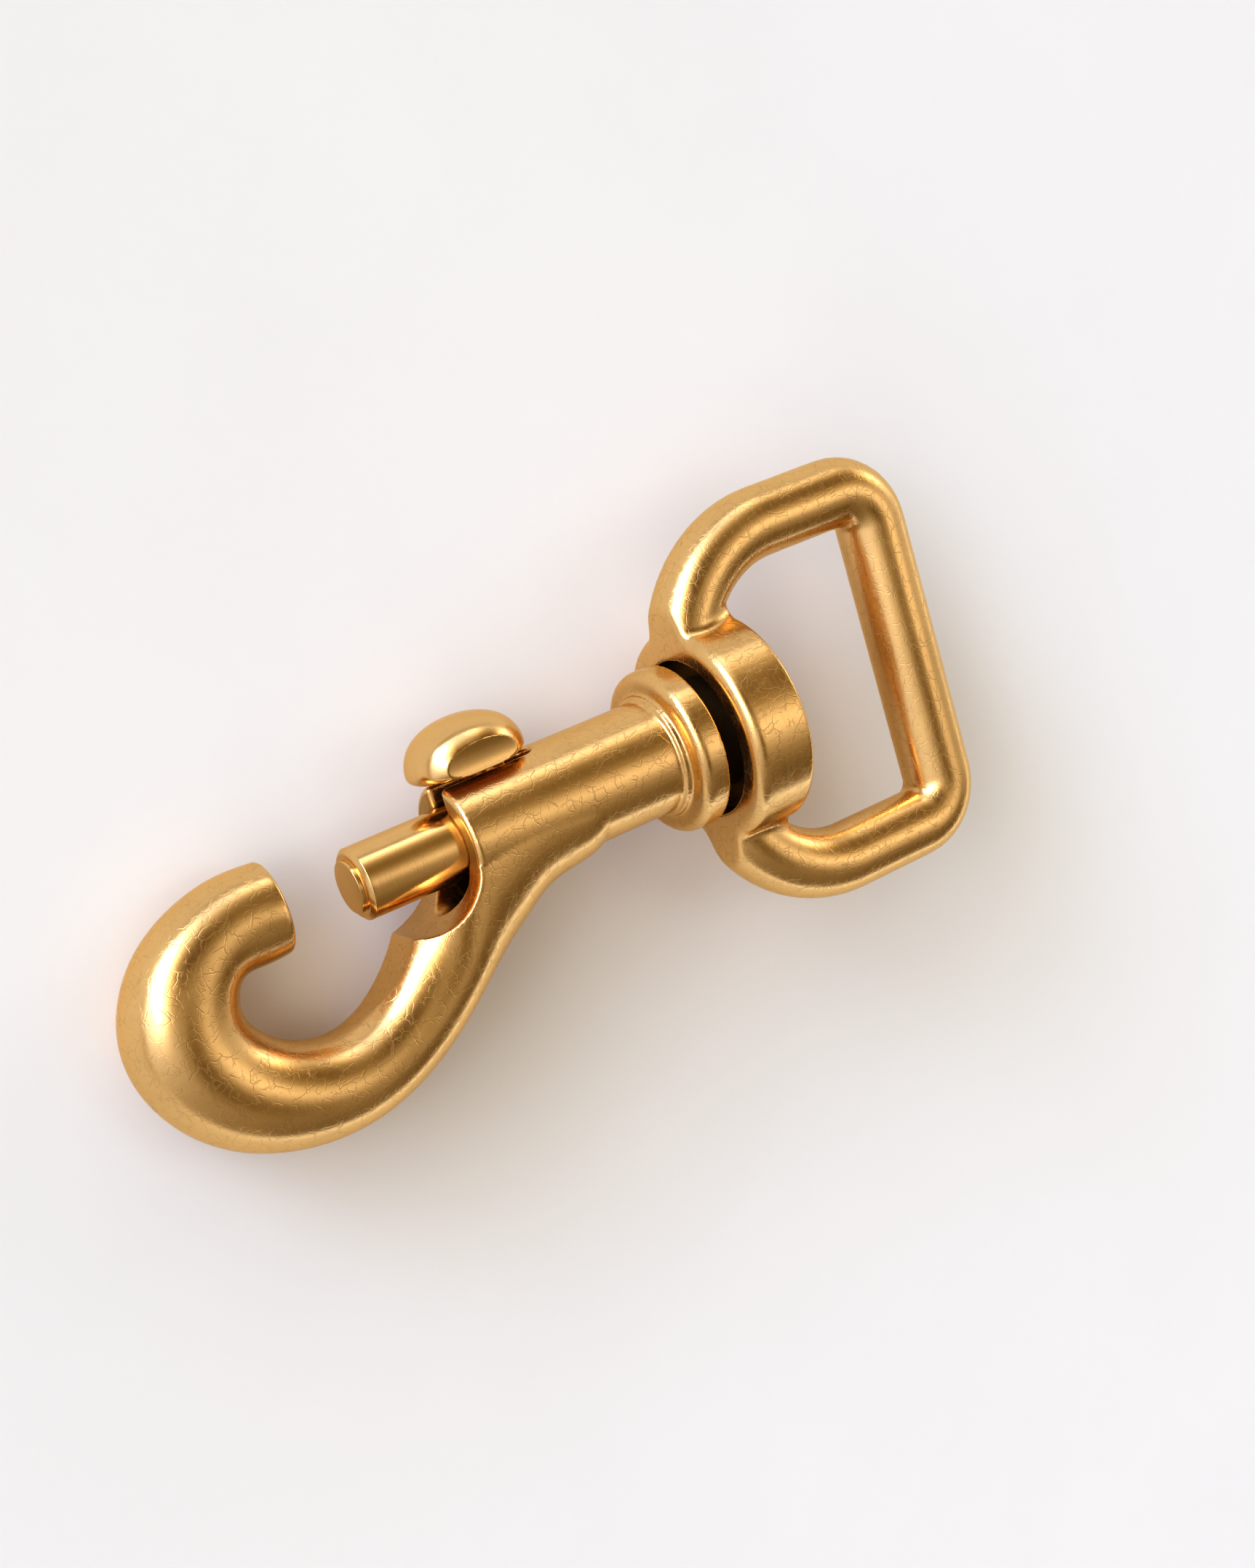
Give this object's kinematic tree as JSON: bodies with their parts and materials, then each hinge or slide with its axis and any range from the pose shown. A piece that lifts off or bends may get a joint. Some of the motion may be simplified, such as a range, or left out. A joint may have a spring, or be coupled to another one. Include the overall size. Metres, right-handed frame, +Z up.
{
  "type": "swivel bolt snap",
  "caption": "Brass swivel bolt snap: an open cast hook with a slotted barrel, a sprung bolt with an oval thumb knob, and a D-shaped strap eye turning on a headed pin.",
  "frame": {"origin": "centre of the footprint, on the surface under the boss's rim, with the hook's plane level", "axes": "+X along the barrel's axis from the hook to the strap eye, +Y to the side of the hook's mouth and the thumb knob, +Z up, square to the hook's plane"},
  "size_m": [0.0988, 0.045, 0.0228],
  "materials": {
    "cast_brass": "satin, finely scratched cast brass",
    "bolt_brass": "turned and worn bright",
    "knob_brass": "polished by the thumb",
    "spring_steel": "plain wire",
    "pin_brass": "turned, duller where it is hidden",
    "eye_brass": "satin, with fine oblique brushing on the boss"
  },
  "bodies": {
    "snap": {"snap_body": "cast_brass", "swivel_pin": "pin_brass", "bolt_spring": "spring_steel"},
    "bolt": {"bolt": "bolt_brass", "thumb_knob": "knob_brass"},
    "eye": {"swivel_eye": "eye_brass"}
  },
  "joints": [
    {"name": "bolt_slide", "type": "slide", "parent": "snap", "child": "bolt", "axis": [1, 0, 0], "range_m": [-0.0081, 0.0025], "stiffness_N_per_m": 400, "deforming": ["bolt_spring"]},
    {"name": "eye_swivel", "type": "hinge", "parent": "snap", "child": "eye", "pos_m": [0.02053, 0, 0.0114], "axis": [1, 0, 0], "continuous": true}
  ]
}
